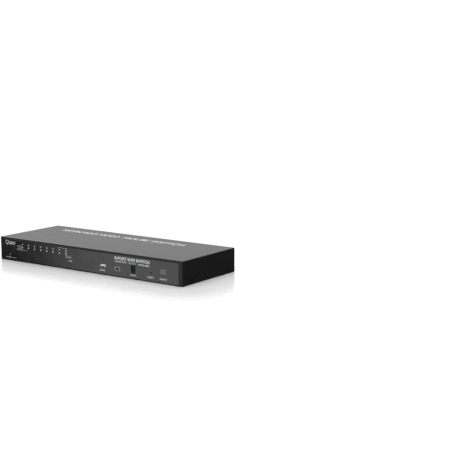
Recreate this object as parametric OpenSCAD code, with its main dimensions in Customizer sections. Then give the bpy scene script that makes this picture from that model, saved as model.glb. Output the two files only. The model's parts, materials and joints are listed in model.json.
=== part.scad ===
// Eight-port rack switch for keyboard, video and mouse. Millimetres, +Z up, front face towards -Y.
// The origin is at the bottom centre of the whole object.

/* [Case] */
// Width of the case
case_w = 437.2; // [436:0.2:440]
// Height of the case, one rack unit
case_h = 44; // [43.6:0.1:44.4]
// Depth from the bezel's face to the rear edge of the cover
case_d = 154.6; // [154:0.2:160]
// Thickness of the sheet steel
sheet_t = 1.2; // [1:0.1:1.2]
// Depth of the moulded front bezel
bezel_d = 4; // [3.8:0.1:4.2]
// Radius of the cover's long bends
bend_r = 1.8; // [1.4:0.1:2.4]

/* [Front panel] */
// Number of computers that the switch serves
port_count = 8; // [4:1:8]
// Distance of the first pair of port lights from the left end
light_first = 58.5; // [50:0.5:62]
// Distance between neighbouring port lights
light_pitch = 15.9; // [14:0.1:16]
// Height of the row of online lights
online_z = 34; // [33.5:0.1:35]
// Height of the row of selected lights
selected_z = 28; // [27:0.1:28.4]
// Radius of a light pipe
pipe_r = 1.3; // [1:0.1:1.5]
// Thickness of the printed film on the bezel
film_t = 0.4; // [0.3:0.1:0.5]

/* [Rear panel] */
// How far the sockets stand out behind the cover
socket_out = 5.6; // [5:0.1:6]
// Height of the D-shaped sockets' centres
socket_z = 14.3; // [14.3:0.1:15]
// Distance between neighbouring computer sockets
socket_pitch = 31.2; // [31:0.1:31.3]

/* [Moving parts] */
// Travel of the port button
button_travel = 0.5; // [0.3:0.1:0.6]
// How far the port button stands proud of the bezel
button_proud = 0.8; // [0.5:0.1:1]
// Travel of the reset plunger
reset_travel = 0.3; // [0.2:0.1:0.4]
// Tilt of the power rocker either side of centre, in degrees
rocker_tilt = 12; // [10:1:13]

/* [Hidden] */
$fn = 48;

gap = 0.1;
eps = 0.5;

// Depths, from the front of the port button to the tips of the rear sockets
y_face = (button_proud - case_d - socket_out) / 2;
y_lip = y_face + case_d;
y_tip = y_lip + socket_out;
y_front_wall = y_face + bezel_d;
y_front_in = y_front_wall + sheet_t;
y_rear_out = y_lip - sheet_t - gap;
y_rear_in = y_rear_out - sheet_t;
y_front_board = y_face + 14;
y_button_back = y_front_in + 3.8;
y_plunger_end = y_front_in + 6.6;
y_shell_floor = y_front_board - 1.5;
board_t = 1.6;

// Widths and heights of the tray inside the cover
tray_x = case_w / 2 - sheet_t - gap;
tray_top = case_h - sheet_t - 2 * gap;
flange_h = 14;
ear_tab_d = 46;
ear_tab_h = 38;
cover_foot = 0.3;
lip_h = 7;

// Screws
m3_r = 1.5;
m3_head_r = 2.8;
ear_hole_r = 1.65;
ear_hole_y = [14, 42];
ear_hole_z = [13, 32];
side_screw_y = [28, 134];
side_screw_z = 7.2;
lip_screw_x = [-150, 20, 190];
lip_screw_z = case_h - 4.2;
bezel_screw_x = [-205, -30, 85, 205];
bezel_screw_z = 38;

// Front panel openings: centre from the left end, centre height, width, height
usb_at = [259.5, 16.2];
usb_size = [13.1, 5.7];
mini_at = [293.3, 14.8];
mini_size = [7.7, 3.9];
mini_flange = [13.4, 8.6];
window_at = [330, 18.2];
window_size = [9.4, 13.8];
button_at = [396, 20.9];
button_size = [13.6, 9.8];
reset_at = [369.6, 16.6];
reset_r = 1.2;
reset_hole_r = 1.5;
power_light_at = [25, 12];
link_light_at = [181, 11.5];
light_x = [for (i = [0 : port_count - 1]) light_first + i * light_pitch];
spacer_at = [[12, 20], [118, 14], [228, 34], [312, 36], [416, 34]];
film_side = 8;
film_low = 2.2;
film_high = 4.2;
film_corner = 1.5;

// Rear panel places along X
port_x = [for (i = [0 : port_count - 1]) -198.6 + i * socket_pitch];
chain_x = 63.5;
console_x = 107;
jack_x = [133.5, 151];
rocker_at = [170, 22];
inlet_at = [196, 22];
earth_at = [151, 31];
flange_t = 0.8;
d15_flange = [30.8, 12.5];
d15_screws = 24.99;
d25_flange = [53.1, 12.5];
d25_screws = 47.04;
y_flange = y_rear_out + flange_t;
y_insert = y_rear_in - 11;
d_slant = 10;

// Main board
main_x = [-212, 160.5];
main_y = [-40, y_rear_in - 0.6];
main_z = 6.2;
main_top = main_z + board_t;
main_screw_at = [[-206, -34], [-80, -34], [60, -34], [154, -34], [-206, 52], [154, 48]];
processor_at = [60, 8];
port_chip_y = 40;
battery_at = [-50, -25];
buzzer_at = [-60, 18];

// Cable headers
ribbon_x = 10;
ribbon_w = 32;
front_header_z = 18;
main_header_y = -28;

// Power board
power_x = [166, 213];
power_y = [-62, 38];
power_screw_at = [[170, -58], [209, -58], [170, 34], [209, 34]];

// Power rocker
rocker_pivot_y = y_rear_out - 0.94;
rocker_r = 8.2;
rocker_w = 9.8;
rocker_face = 2.6;
rocker_pin_r = 1.2;

// Wires, as routes between their ends
line_route = [[189, 47, 25.5], [189, 43, 27], [181, 41, 28.5], [172, 43, 28], [170, 50.5, 27.2]];
switched_route = [[170, 50.5, 16.8], [171, 44, 16.8], [177, 40, 18], [182, 36, 18.5], [182, 33, 14.7]];
neutral_route = [[203, 47, 25.5], [203, 42, 25], [200, 38, 22], [192, 34, 19], [190, 33, 14.7]];
earth_route = [[196, 47, 17.5], [196, 44, 22], [193, 44.5, 34],
    [180, 46, 37.5], [160, 58, 37.5], [152, 69.2, 32.2]];
wire_r = 1;
supply_pitch = 2.5;
supply_from = [179, -58.5];
supply_to = [144, -36.5];

// ---------- shared shapes ----------

// Arc that rounds the corner b between its neighbours a and c
function corner(a, b, c, r, n) =
    let (u = (a - b) / norm(a - b), v = (c - b) / norm(c - b),
         half = acos(u * v) / 2,
         s = b + u * r / tan(half), e = b + v * r / tan(half),
         m = b + (u + v) / norm(u + v) * r / sin(half),
         a0 = atan2(s[1] - m[1], s[0] - m[0]), a1 = atan2(e[1] - m[1], e[0] - m[0]),
         turn = a1 - a0 > 180 ? a1 - a0 - 360 : a1 - a0 < -180 ? a1 - a0 + 360 : a1 - a0)
    [for (i = [0 : n]) m + r * [cos(a0 + turn * i / n), sin(a0 + turn * i / n)]];

function rounded(points, r, n = 5) =
    let (k = len(points))
    [for (i = [0 : k - 1]) each corner(points[(i + k - 1) % k], points[i], points[(i + 1) % k], r, n)];

function rect_points(w, h) = [[-w / 2, -h / 2], [w / 2, -h / 2], [w / 2, h / 2], [-w / 2, h / 2]];

// Outline of a D-shaped socket: wide side on top
function d_points(w, h) =
    let (s = h * tan(d_slant))
    [[-w / 2 + s, -h / 2], [w / 2 - s, -h / 2], [w / 2, h / 2], [-w / 2, h / 2]];

function front_x(u) = u - case_w / 2;

// Box between two corners
module block(lo, hi) {
    translate(lo) cube(hi - lo);
}

// Shape drawn in X and Z, carried along Y from y0 to y1
module along_y(y0, y1) {
    translate([0, y1, 0]) rotate([90, 0, 0]) linear_extrude(y1 - y0) children();
}

module rod_y(x, z, r, y0, y1) {
    translate([x, y1, z]) rotate([90, 0, 0]) cylinder(h = y1 - y0, r = r);
}

module rod_z(x, y, r, z0, z1) {
    translate([x, y, z0]) cylinder(h = z1 - z0, r = r);
}

module rounded_plate_y(x, z, w, h, r, y0, y1) {
    along_y(y0, y1) translate([x, z]) polygon(rounded(rect_points(w, h), r));
}

module cross_recess(size, depth) {
    for (a = [0, 90])
        rotate([0, 0, a]) translate([-size / 2, -size / 8, -depth]) cube([size, size / 4, depth + eps]);
}

// Pan-head screw: its head starts at z = 0 and its shank goes down
module pan_screw(r, head_r, head_h, shank) {
    difference() {
        union() {
            cylinder(h = head_h * 0.6, r = head_r);
            translate([0, 0, head_h * 0.6]) cylinder(h = head_h * 0.4, r1 = head_r, r2 = head_r * 0.78);
            translate([0, 0, -shank]) cylinder(h = shank, r = r);
        }
        translate([0, 0, head_h]) cross_recess(head_r * 1.1, head_h * 0.5);
    }
}

// Countersunk screw: its head is level with z = 0
module flat_screw(r, head_r, shank) {
    difference() {
        union() {
            translate([0, 0, -(head_r - r)]) cylinder(h = head_r - r, r1 = r, r2 = head_r);
            translate([0, 0, -shank]) cylinder(h = shank, r = r);
        }
        cross_recess(head_r * 1.1, (head_r - r) * 0.6);
    }
}

// Smooth curve through the points of a route, with n steps between neighbours
function between(a, b, c, d, t) =
    b + (c - a) * t / 2 + (2 * a - 5 * b + 4 * c - d) * t * t / 2 + (3 * b - a - 3 * c + d) * t * t * t / 2;

function smooth(p, n) =
    let (last = len(p) - 1)
    concat([for (i = [0 : last - 1], j = [0 : n - 1])
        between(p[max(i - 1, 0)], p[i], p[i + 1], p[min(i + 2, last)], j / n)], [p[last]]);

function heading(p, i) =
    let (v = p[min(i + 1, len(p) - 1)] - p[max(i - 1, 0)])
    v / norm(v);

function square_to(v, t) =
    let (w = v - t * (v * t))
    w / norm(w);

// Round wire along a smoothed route: a ring of eight corners at each point, joined by triangles
module wire(route, r) {
    p = smooth(route, 3);
    k = 8;
    n = len(p);
    side = [for (i = 0, u = square_to([0.2, 0.3, 1], heading(p, 0)); i < n;
        i = i + 1, u = square_to(u, heading(p, min(i, n - 1)))) u];
    rings = [for (i = [0 : n - 1], j = [0 : k - 1])
        p[i] + r * (cos(j * 360 / k) * side[i] + sin(j * 360 / k) * cross(heading(p, i), side[i]))];
    walls = [for (i = [0 : n - 2], j = [0 : k - 1])
        let (a = i * k + j, b = i * k + (j + 1) % k)
        each [[a, a + k, b + k], [a, b + k, b]]];
    near_end = [for (j = [0 : k - 1]) j];
    far_end = [for (j = [k - 1 : -1 : 0]) (n - 1) * k + j];
    polyhedron(rings, concat(walls, [near_end, far_end]));
}

// Outline of a flat strip of thickness t that follows the line p
function strip_points(p, t) =
    let (last = len(p) - 1, side = [for (i = [0 : last]) [-heading(p, i)[1], heading(p, i)[0]] * t / 2])
    concat([for (i = [0 : last]) p[i] + side[i]], [for (i = [last : -1 : 0]) p[i] - side[i]]);

module d_shell(w, h, r, wall, y0, y1) {
    along_y(y0, y1) difference() {
        polygon(rounded(d_points(w, h), r));
        polygon(rounded(d_points(w - 2 * wall, h - 2 * wall), r - wall));
    }
}

// Rod through a side wall
module side_rod(side, y, z, r) {
    translate([side * case_w / 2, y_face + y, z]) rotate([0, 90, 0]) cylinder(h = 12, r = r, center = true);
}

// ---------- sheet metal ----------

module rack_ear_holes(side, r) {
    for (y = ear_hole_y, z = ear_hole_z) side_rod(side, y, z, r);
}

module side_screw_holes(side, r) {
    for (y = side_screw_y) side_rod(side, y, side_screw_z, r);
}

module front_wall_openings() {
    y0 = y_front_wall - eps;
    y1 = y_front_in + eps;
    for (u = light_x, z = [online_z, selected_z]) rod_y(front_x(u), z, pipe_r + 0.2, y0, y1);
    for (p = [power_light_at, link_light_at]) rod_y(front_x(p[0]), p[1], pipe_r + 0.2, y0, y1);
    rod_y(front_x(reset_at[0]), reset_at[1], 2, y0, y1);
    for (o = [[usb_at, usb_size + [1.4, 1.4]], [mini_at, mini_size + [1.4, 1.4]],
              [window_at, window_size + [0.4, 0.4]], [button_at, button_size + [0.8, 0.8]]])
        rounded_plate_y(front_x(o[0][0]), o[0][1], o[1][0], o[1][1], 0.5, y0, y1);
    for (x = bezel_screw_x) rod_y(x, bezel_screw_z, m3_r + 0.05, y0, y1);
}

module rear_wall_openings() {
    y0 = y_rear_in - eps;
    y1 = y_rear_out + eps;
    for (x = concat(port_x, [console_x])) {
        rounded_plate_y(x, socket_z, 19.6, 10.6, 0.8, y0, y1);
        for (s = [-1, 1]) rod_y(x + s * d15_screws / 2, socket_z, 1.5, y0, y1);
    }
    rounded_plate_y(chain_x, socket_z, 41, 10.6, 0.8, y0, y1);
    for (s = [-1, 1]) rod_y(chain_x + s * d25_screws / 2, socket_z, 1.5, y0, y1);
    for (x = jack_x) block([x - 8.1, y0, main_top - gap], [x + 8.1, y1, main_top + 13.7]);
    rounded_plate_y(rocker_at[0], rocker_at[1], 13, 19, 0.5, y0, y1);
    rounded_plate_y(inlet_at[0], inlet_at[1], 27.4, 20, 0.8, y0, y1);
    rod_y(earth_at[0], earth_at[1], 2.05, y0, y1);
    for (x = lip_screw_x) rod_y(x, lip_screw_z, m3_r + 0.05, y0, y1);
}

// Rows of slots in the floor under the warm parts
module floor_vents() {
    for (bank = [[20, -20, 9], [175, -45, 4]], i = [0 : bank[2] - 1], j = [0, 1])
        translate([bank[0] + i * 9, bank[1] + j * 30, -eps]) cube([3, 22, sheet_t + 2 * eps]);
}

module base_tray() {
    color([0.10, 0.10, 0.11])
    difference() {
        union() {
            block([-tray_x, y_front_wall, 0], [tray_x, y_rear_out, sheet_t]);
            block([-tray_x, y_front_wall, 0], [tray_x, y_front_in, tray_top]);
            block([-tray_x, y_front_wall, tray_top - sheet_t], [tray_x, y_front_wall + 8, tray_top]);
            block([-tray_x, y_rear_in, 0], [tray_x, y_rear_out, tray_top]);
            block([-tray_x, y_rear_out - 8, tray_top - sheet_t], [tray_x, y_rear_out, tray_top]);
            for (s = [-1, 1]) {
                x0 = s > 0 ? tray_x - sheet_t : -tray_x;
                block([x0, y_front_wall, 0], [x0 + sheet_t, y_rear_out, flange_h]);
                block([x0, y_front_wall, 0], [x0 + sheet_t, y_face + 5 + ear_tab_d, ear_tab_h]);
            }
        }
        front_wall_openings();
        rear_wall_openings();
        floor_vents();
        for (s = [-1, 1]) {
            rack_ear_holes(s, ear_hole_r);
            side_screw_holes(s, m3_r + 0.05);
        }
    }
}

module cover_profile(grow, r, foot) {
    w = case_w / 2 + grow;
    top = case_h + grow;
    polygon(concat([[-w, foot], [w, foot]],
        corner([w, foot], [w, top], [-w, top], r, 12),
        corner([w, top], [-w, top], [-w, foot], r, 12)));
}

module top_cover() {
    color([0.24, 0.24, 0.25])
    difference() {
        union() {
            along_y(y_front_wall + 2 * gap, y_lip) difference() {
                cover_profile(0, bend_r, cover_foot);
                cover_profile(-sheet_t, bend_r - sheet_t, cover_foot - 1);
            }
            block([-tray_x + 1, y_lip - sheet_t, case_h - lip_h], [tray_x - 1, y_lip, case_h - sheet_t / 2]);
        }
        for (s = [-1, 1]) {
            rack_ear_holes(s, 2.3);
            for (y = side_screw_y)
                translate([s * case_w / 2, y_face + y, side_screw_z]) rotate([0, s * 90, 0])
                    translate([0, 0, -(m3_head_r - m3_r) - gap])
                        cylinder(h = m3_head_r - m3_r + gap + 0.01, r1 = m3_r, r2 = m3_head_r + gap + 0.01);
            side_screw_holes(s, m3_r + 0.05);
        }
        for (x = lip_screw_x) rod_y(x, lip_screw_z, m3_r + 0.2, y_lip - sheet_t - eps, y_lip + eps);
    }
}

module cover_screws() {
    color([0.16, 0.16, 0.17]) {
        for (s = [-1, 1], y = side_screw_y)
            translate([s * case_w / 2, y_face + y, side_screw_z]) rotate([0, s * 90, 0])
                flat_screw(m3_r, m3_head_r, 5);
        for (x = lip_screw_x)
            translate([x, y_lip, lip_screw_z]) rotate([-90, 0, 0]) pan_screw(m3_r, m3_head_r, 1.8, 5);
    }
}

// ---------- front panel ----------

// Openings for everything that shows on the front, each wider than its piece by twice the clearance
module face_openings(clear, y0, y1) {
    for (u = light_x, z = [online_z, selected_z]) rod_y(front_x(u), z, pipe_r + clear, y0, y1);
    for (p = [power_light_at, link_light_at]) rod_y(front_x(p[0]), p[1], pipe_r + clear, y0, y1);
    rod_y(front_x(reset_at[0]), reset_at[1], reset_hole_r, y0, y1);
    for (o = [[usb_at, usb_size], [mini_at, mini_flange], [window_at, window_size], [button_at, button_size]])
        rounded_plate_y(front_x(o[0][0]), o[0][1], o[1][0] + 2 * clear, o[1][1] + 2 * clear, 0.5, y0, y1);
}

// Printed film, or the pocket that it lies in, smaller all round by the clearance
module film_plate(clear, y0) {
    rounded_plate_y(0, (film_low + case_h - film_high) / 2, case_w - 2 * film_side - 2 * clear,
        case_h - film_low - film_high - 2 * clear, film_corner - clear, y0, y_face + film_t);
}

module front_bezel() {
    edge_r = 1.2;
    face_t = 1.6;
    wall = 2;
    half_w = case_w / 2;
    color([0.13, 0.13, 0.14])
    difference() {
        intersection() {
            rounded_plate_y(0, case_h / 2, case_w, case_h, edge_r, y_face, y_front_wall);
            translate([-case_w, 0, 0]) rotate([90, 0, 90]) linear_extrude(2 * case_w)
                polygon(concat([[y_front_wall, 0], [y_front_wall, case_h]],
                    corner([y_front_wall, case_h], [y_face, case_h], [y_face, 0], edge_r, 6),
                    corner([y_face, case_h], [y_face, 0], [y_front_wall, 0], edge_r, 6)));
            translate([0, 0, -1]) linear_extrude(case_h + 2)
                polygon(concat([[half_w, y_front_wall], [-half_w, y_front_wall]],
                    corner([-half_w, y_front_wall], [-half_w, y_face], [half_w, y_face], edge_r, 6),
                    corner([-half_w, y_face], [half_w, y_face], [half_w, y_front_wall], edge_r, 6)));
        }
        film_plate(0, y_face - eps);
        difference() {
            block([-half_w + wall, y_face + face_t, wall],
                [half_w - wall, y_front_wall + eps, case_h - wall]);
            for (x = bezel_screw_x) rod_y(x, bezel_screw_z, 3.6, y_face, y_front_wall + 1);
            rounded_plate_y(front_x(button_at[0]), button_at[1], button_size[0] + 3, button_size[1] + 3, 1,
                y_face, y_front_wall + 1);
            rounded_plate_y(front_x(mini_at[0]), mini_at[1], mini_flange[0] + 3, mini_flange[1] + 3, 1,
                y_face, y_front_wall + 1);
            rod_y(front_x(reset_at[0]), reset_at[1], 3, y_face, y_front_wall + 1);
        }
        for (x = bezel_screw_x) rod_y(x, bezel_screw_z, m3_r, y_face + face_t, y_front_wall + eps);
        face_openings(0.3, y_face - eps, y_front_wall + eps);
    }
}

module front_film() {
    color([0.20, 0.20, 0.21])
    difference() {
        film_plate(gap, y_face);
        face_openings(0.2, y_face - eps, y_face + film_t + eps);
    }
}

module bezel_screws() {
    color([0.75, 0.75, 0.76])
    for (x = bezel_screw_x)
        translate([x, y_front_in, bezel_screw_z]) rotate([-90, 0, 0]) pan_screw(m3_r, m3_head_r, 1.6, 3.2);
}

module light_pipe(u, z) {
    rod_y(front_x(u), z, pipe_r, y_face + 0.05, y_front_board - 1.5);
    rod_y(front_x(u), z, pipe_r + 0.8, y_front_in, y_front_in + 1);
}

module online_light_pipes() {
    color([0.80, 0.84, 0.80]) for (u = light_x) light_pipe(u, online_z);
}

module selected_light_pipes() {
    color([0.85, 0.82, 0.78]) for (u = light_x) light_pipe(u, selected_z);
}

module power_light_pipe() {
    color([0.35, 0.80, 0.45]) light_pipe(power_light_at[0], power_light_at[1]);
}

module link_light_pipe() {
    color([0.30, 0.32, 0.30]) light_pipe(link_light_at[0], link_light_at[1]);
}

module indicator_leds() {
    color([0.90, 0.90, 0.82])
    for (p = concat([for (u = light_x, z = [online_z, selected_z]) [u, z]], [power_light_at, link_light_at]))
        rounded_plate_y(front_x(p[0]), p[1], 2, 1.3, 0.2, y_front_board - 1.1, y_front_board);
}

module display_window() {
    x = front_x(window_at[0]);
    z = window_at[1];
    foot_t = 0.6;
    foot = window_size + [2, 1.6];
    color([0.05, 0.04, 0.05]) {
        rounded_plate_y(x, z, window_size[0], window_size[1], 0.4, y_face + 0.05, y_front_in);
        rounded_plate_y(x, z, foot[0], foot[1], 0.6, y_front_in, y_front_in + foot_t);
    }
}

module display_module() {
    x = front_x(window_at[0]);
    color([0.16, 0.16, 0.17])
    block([x - 4.9, y_front_in + 0.9, window_at[1] - 6.4], [x + 4.9, y_front_board, window_at[1] + 6.4]);
}

// One digit: seven bars on a slant, and a dot
module display_segments() {
    bar = 0.9;
    half_w = 2.5;
    half_h = 4.4;
    lean = 8;
    color([0.72, 0.66, 0.64])
    along_y(y_front_in + 0.7, y_front_in + 0.9) translate([front_x(window_at[0]) - 0.5, window_at[1]])
        multmatrix([[1, tan(lean), 0, 0], [0, 1, 0, 0], [0, 0, 1, 0], [0, 0, 0, 1]]) {
            for (z = [-half_h, 0, half_h])
                translate([-half_w + bar * 0.7, z - bar / 2]) square([2 * half_w - bar * 1.4, bar]);
            for (x = [-half_w, half_w], z = [-half_h / 2, half_h / 2])
                translate([x - bar / 2, z - half_h / 2 + bar * 0.6]) square([bar, half_h - bar * 1.2]);
            translate([half_w + 1, -half_h]) circle(r = 0.5);
        }
}

module port_button() {
    x = front_x(button_at[0]);
    z = button_at[1];
    tip = button_size - [0.8, 0.8];
    stop = button_size + [2.6, 2.6];
    y_step = y_face - button_proud / 2;
    y_stop = y_front_in + 0.2;
    stop_t = 1;
    color([0.42, 0.43, 0.44]) {
        rounded_plate_y(x, z, tip[0], tip[1], 0.4, y_face - button_proud, y_step);
        rounded_plate_y(x, z, button_size[0], button_size[1], 0.6, y_step, y_stop);
        rounded_plate_y(x, z, stop[0], stop[1], 0.8, y_stop, y_stop + stop_t);
        rod_y(x, z, 2.2, y_stop + stop_t, y_button_back);
    }
}

module port_button_plunger() {
    color([0.12, 0.12, 0.12])
    rod_y(front_x(button_at[0]), button_at[1], 1.75, y_button_back, y_plunger_end);
}

module reset_plunger() {
    color([0.12, 0.12, 0.12])
    rod_y(front_x(reset_at[0]), reset_at[1], reset_r, y_face + 2.6, y_plunger_end);
}

module tact_switches() {
    color([0.35, 0.35, 0.36])
    for (s = [[button_at, 1.8, button_travel], [reset_at, reset_r + 0.05, reset_travel]]) {
        x = front_x(s[0][0]);
        z = s[0][1];
        difference() {
            block([x - 3, y_front_board - 3.5, z - 3], [x + 3, y_front_board, z + 3]);
            rod_y(x, z, s[1], y_front_board - 4, y_plunger_end + s[2] + 0.3);
        }
    }
}

// Formed metal shell with a flared mouth
module usb_shell() {
    wall = 0.35;
    y0 = y_face + 0.1;
    x = front_x(usb_at[0]);
    z = usb_at[1];
    color([0.78, 0.78, 0.80])
    difference() {
        rounded_plate_y(x, z, usb_size[0], usb_size[1], 0.6, y0, y_front_board);
        rounded_plate_y(x, z, usb_size[0] - 2 * wall, usb_size[1] - 2 * wall, 0.35, y0 - eps, y_shell_floor);
    }
}

module usb_tongue() {
    x = front_x(usb_at[0]);
    z = usb_at[1];
    y_block = y_front_board - 3.5;
    color([0.93, 0.93, 0.92]) {
        block([x - 5.55, y_face + 1.2, z + 0.2], [x + 5.55, y_block, z + 2.05]);
        block([x - 6.1, y_block, z - 2.4], [x + 6.1, y_shell_floor - 0.05, z + 2.4]);
    }
}

module usb_contacts() {
    color([0.83, 0.68, 0.35])
    for (dx = [-3.5, -1, 1, 3.5])
        block([front_x(usb_at[0]) + dx - 0.5, y_face + 2.2, usb_at[1]],
            [front_x(usb_at[0]) + dx + 0.5, y_front_board - 3.6, usb_at[1] + 0.19]);
}

// Mini socket shell: the lower corners are drawn in
function mini_points(w, h) =
    let (s = h * 0.32, x = w / 2, z = h / 2)
    [[-x + s, -z], [x - s, -z], [x, -z + s], [x, z], [-x, z], [-x, -z + s]];

module mini_usb_shell() {
    wall = 0.35;
    x = front_x(mini_at[0]);
    y0 = y_face + 0.1;
    color([0.74, 0.74, 0.76])
    difference() {
        union() {
            rounded_plate_y(x, mini_at[1], mini_flange[0], mini_flange[1], 1, y0, y0 + 0.6);
            along_y(y0, y_front_board) translate([x, mini_at[1]])
                polygon(rounded(mini_points(mini_size[0], mini_size[1]), 0.4));
        }
        along_y(y0 - eps, y_shell_floor) translate([x, mini_at[1]])
            polygon(rounded(mini_points(mini_size[0] - 2 * wall, mini_size[1] - 2 * wall), 0.25));
    }
}

module mini_usb_tongue() {
    x = front_x(mini_at[0]);
    z = mini_at[1];
    y_block = y_front_board - 3;
    color([0.08, 0.08, 0.08]) {
        block([x - 2.4, y_face + 1, z + 0.1], [x + 2.4, y_block, z + 0.9]);
        block([x - 2.3, y_block, z - 1.4], [x + 2.3, y_shell_floor - 0.05, z + 1.4]);
    }
}

module front_board() {
    color([0.07, 0.33, 0.18])
    difference() {
        rounded_plate_y(0, 23, case_w - 12, 34, 1, y_front_board, y_front_board + board_t);
        for (p = spacer_at)
            rod_y(front_x(p[0]), p[1], m3_r + 0.1, y_front_board - eps, y_front_board + board_t + eps);
    }
}

module front_spacers() {
    color([0.80, 0.72, 0.45])
    for (p = spacer_at) difference() {
        rod_y(front_x(p[0]), p[1], 2.8, y_front_in, y_front_board);
        rod_y(front_x(p[0]), p[1], m3_r, y_front_in - eps, y_front_board + eps);
    }
}

module front_board_screws() {
    color([0.75, 0.75, 0.76])
    for (p = spacer_at)
        translate([front_x(p[0]), y_front_board + board_t, p[1]]) rotate([-90, 0, 0])
            pan_screw(m3_r, m3_head_r, 1.6, 7);
}

// ---------- main board ----------

module main_board() {
    color([0.05, 0.30, 0.17])
    difference() {
        block([main_x[0], main_y[0], main_z], [main_x[1], main_y[1], main_top]);
        for (p = main_screw_at) rod_z(p[0], p[1], m3_r + 0.1, main_z - eps, main_top + eps);
    }
}

module standoff(p) {
    difference() {
        rod_z(p[0], p[1], 2.8, sheet_t, main_z);
        rod_z(p[0], p[1], m3_r, sheet_t - eps, main_z + eps);
    }
}

module main_standoffs() {
    color([0.72, 0.72, 0.74]) for (p = concat(main_screw_at, power_screw_at)) standoff(p);
}

module main_board_screws() {
    color([0.76, 0.76, 0.78])
    for (p = concat(main_screw_at, power_screw_at))
        translate([p[0], p[1], main_top]) pan_screw(m3_r, m3_head_r, 1.6, 5);
}

module chip(x, y, w, d, h) {
    block([x - w / 2, y - d / 2, main_top], [x + w / 2, y + d / 2, main_top + h]);
}

module processor() {
    color([0.10, 0.10, 0.10]) chip(processor_at[0], processor_at[1], 27, 27, 2.2);
}

module heat_sink() {
    z0 = main_top + 2.2;
    half = 15;
    color([0.30, 0.31, 0.33]) {
        block([processor_at[0] - half, processor_at[1] - half, z0],
            [processor_at[0] + half, processor_at[1] + half, z0 + 2]);
        for (i = [0 : 7])
            block([processor_at[0] - half + i * 4.1, processor_at[1] - half, z0 + 2],
                [processor_at[0] - half + i * 4.1 + 1.2, processor_at[1] + half, z0 + 12]);
    }
}

// One video and keyboard chip behind each computer socket
module port_chips() {
    color([0.12, 0.12, 0.12]) for (x = port_x) chip(x, port_chip_y, 10, 10, 1.4);
}

module support_chips() {
    color([0.12, 0.12, 0.13]) {
        for (x = [10, 24]) chip(x, 6, 10.5, 18, 1.2);
        chip(104, 10, 20, 20, 1.6);
        chip(-30, 0, 22, 22, 1.6);
        for (i = [0 : 4]) chip(-180 + i * 26, -4, 7.5, 12.5, 1.6);
        chip(134, 38, 9, 9, 1.2);
    }
}

module board_capacitors() {
    color([0.12, 0.16, 0.32])
    for (p = [[142, 8], [142, 20], [130, -20], [90, -25], [40, -25], [-110, 20], [-150, 20]])
        rod_z(p[0], p[1], 4, main_top, main_top + 11);
}

module buzzer() {
    color([0.08, 0.08, 0.08])
    difference() {
        rod_z(buzzer_at[0], buzzer_at[1], 6, main_top, main_top + 8.5);
        rod_z(buzzer_at[0], buzzer_at[1], 1, main_top + 6.5, main_top + 9);
    }
}

module battery_holder() {
    color([0.10, 0.10, 0.10])
    difference() {
        rod_z(battery_at[0], battery_at[1], 12, main_top, main_top + 5);
        rod_z(battery_at[0], battery_at[1], 10.1, main_top + 1.2, main_top + 6);
    }
}

module clock_battery() {
    color([0.78, 0.78, 0.80]) {
        rod_z(battery_at[0], battery_at[1], 10, main_top + 1.2, main_top + 3.6);
        rod_z(battery_at[0], battery_at[1], 8.6, main_top + 3.6, main_top + 4.4);
    }
}

// Box headers at the two ends of the ribbon cable, and the header for the supply wires
// Four-way header that the supply wires end in
module supply_header(at) {
    block([at[0] - 3, at[1] - 1.5, main_top], [at[0] + 3, at[1] + 9.5, main_top + 6.6]);
}

module cable_headers() {
    y0 = y_front_board + board_t;
    color([0.14, 0.14, 0.14]) {
        block([ribbon_x - 20, y0, front_header_z - 4.3], [ribbon_x + 20, y0 + 9, front_header_z + 4.3]);
        block([ribbon_x - 20, main_header_y - 4.3, main_top],
            [ribbon_x + 20, main_header_y + 4.3, main_top + 9]);
        supply_header(supply_to);
    }
}

// Flat cable: straight out of the front header, over a low hump and down into the main board's header
module ribbon_cable() {
    y0 = y_front_board + board_t + 9;
    z1 = main_top + 9;
    route = [[y0, front_header_z], [y0 + 5, front_header_z + 0.6], [y0 + 12, front_header_z + 5],
        [y0 + 19, front_header_z + 7], [y0 + 25, front_header_z + 4],
        [main_header_y, z1 + 2], [main_header_y, z1]];
    color([0.62, 0.62, 0.64])
    translate([ribbon_x - ribbon_w / 2, 0, 0]) rotate([90, 0, 90]) linear_extrude(ribbon_w)
        polygon(strip_points(smooth(route, 4), 0.9));
}

// ---------- rear sockets ----------

module flange_plate(x, size, hole, screws) {
    along_y(y_rear_out, y_flange) translate([x, socket_z]) difference() {
        polygon(rounded(rect_points(size[0], size[1]), 2));
        polygon(rounded(d_points(hole[0], hole[1]), 1.6));
        for (s = [-1, 1]) translate([s * screws / 2, 0]) circle(r = 1.5);
    }
}

module port_shells() {
    color([0.74, 0.74, 0.75])
    for (x = concat(port_x, [console_x])) {
        flange_plate(x, d15_flange, [16.2, 7.9], d15_screws);
        translate([x, 0, socket_z]) d_shell(17, 8.7, 2, 0.4, y_rear_out, y_tip);
    }
}

// Insert with three rows of five contact holes
module d15_insert(x) {
    y1 = y_tip - 0.3;
    difference() {
        union() {
            along_y(y_rear_out - 1, y1) translate([x, socket_z]) polygon(rounded(d_points(16, 7.7), 1.5));
            block([x - 9.6, y_insert, socket_z - 5.1], [x + 9.6, y_rear_out - gap, socket_z + 5.1]);
            block([x - 9.6, y_insert, main_top], [x + 9.6, y_rear_in - 0.8, socket_z - 5]);
        }
        for (row = [-1, 0, 1], i = [-2 : 2])
            rod_y(x + (i + abs(row) * 0.25) * 2.29, socket_z + row * 1.98, 0.55, y1 - 4, y1 + 1);
    }
}

module port_inserts() {
    color([0.86, 0.66, 0.12]) for (x = port_x) d15_insert(x);
}

module console_insert() {
    color([0.10, 0.22, 0.62]) d15_insert(console_x);
}

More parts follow.
